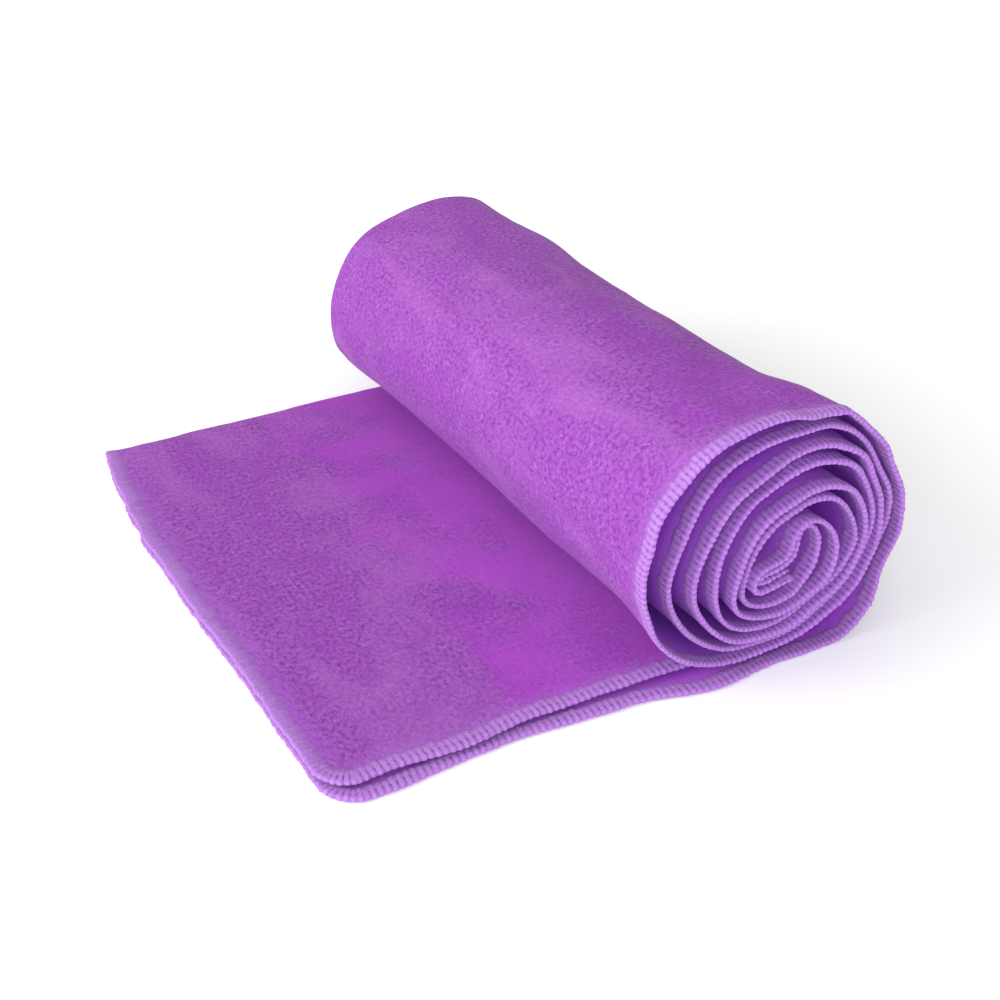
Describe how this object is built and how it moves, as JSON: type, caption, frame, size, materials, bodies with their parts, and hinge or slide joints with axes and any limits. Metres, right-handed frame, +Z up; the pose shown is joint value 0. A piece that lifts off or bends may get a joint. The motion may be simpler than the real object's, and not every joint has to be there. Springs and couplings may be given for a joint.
{
  "type": "quick dry towel",
  "caption": "Soft purple microfibre towel with overlocked hems, folded in half lengthwise and rolled from one short end, with a free end that curls up against the roll.",
  "frame": {"origin": "on the flat underside of the cloth, on the floor, below the middle of the roll and half way between the hemmed edges and the fold", "axes": "+X from the free end towards the roll, +Y along the roll from the hemmed long edges towards the fold, +Z up"},
  "size_m": [0.2099, 0.2545, 0.0894],
  "materials": {
    "suede": "brushed suede microfibre",
    "overlock_thread": "woolly overlock thread"
  },
  "bodies": {
    "roll": {"roll_cloth": "suede", "roll_hem_lower": "overlock_thread", "roll_hem_upper": "overlock_thread", "core_end_hem": "overlock_thread"},
    "tail_1": {"tail_cloth_1": "suede", "tail_hem_lower_1": "overlock_thread", "tail_hem_upper_1": "overlock_thread"},
    "tail_2": {"tail_cloth_2": "suede", "tail_hem_lower_2": "overlock_thread", "tail_hem_upper_2": "overlock_thread"},
    "tail_3": {"tail_cloth_3": "suede", "tail_hem_lower_3": "overlock_thread", "tail_hem_upper_3": "overlock_thread"},
    "tail_4": {"tail_cloth_4": "suede", "tail_hem_lower_4": "overlock_thread", "tail_hem_upper_4": "overlock_thread"},
    "tail_5": {"tail_cloth_5": "suede", "tail_hem_lower_5": "overlock_thread", "tail_hem_upper_5": "overlock_thread"},
    "tail_6": {"tail_cloth_6": "suede", "tail_end_hem": "overlock_thread"}
  },
  "joints": [
    {"name": "bend_1", "type": "hinge", "parent": "roll", "child": "tail_1", "pos_m": [-0.022, 0, 0.003], "axis": [0, 1, 0], "range_deg": [0, 22]},
    {"name": "bend_2", "type": "hinge", "parent": "tail_1", "child": "tail_2", "pos_m": [-0.045, 0, 0.003], "axis": [0, 1, 0], "range_deg": [0, 31]},
    {"name": "bend_3", "type": "hinge", "parent": "tail_2", "child": "tail_3", "pos_m": [-0.068, 0, 0.003], "axis": [0, 1, 0], "range_deg": [0, 28.5]},
    {"name": "bend_4", "type": "hinge", "parent": "tail_3", "child": "tail_4", "pos_m": [-0.091, 0, 0.003], "axis": [0, 1, 0], "range_deg": [0, 27]},
    {"name": "bend_5", "type": "hinge", "parent": "tail_4", "child": "tail_5", "pos_m": [-0.114, 0, 0.003], "axis": [0, 1, 0], "range_deg": [0, 27]},
    {"name": "bend_6", "type": "hinge", "parent": "tail_5", "child": "tail_6", "pos_m": [-0.137, 0, 0.003], "axis": [0, 1, 0], "range_deg": [0, 26]}
  ]
}
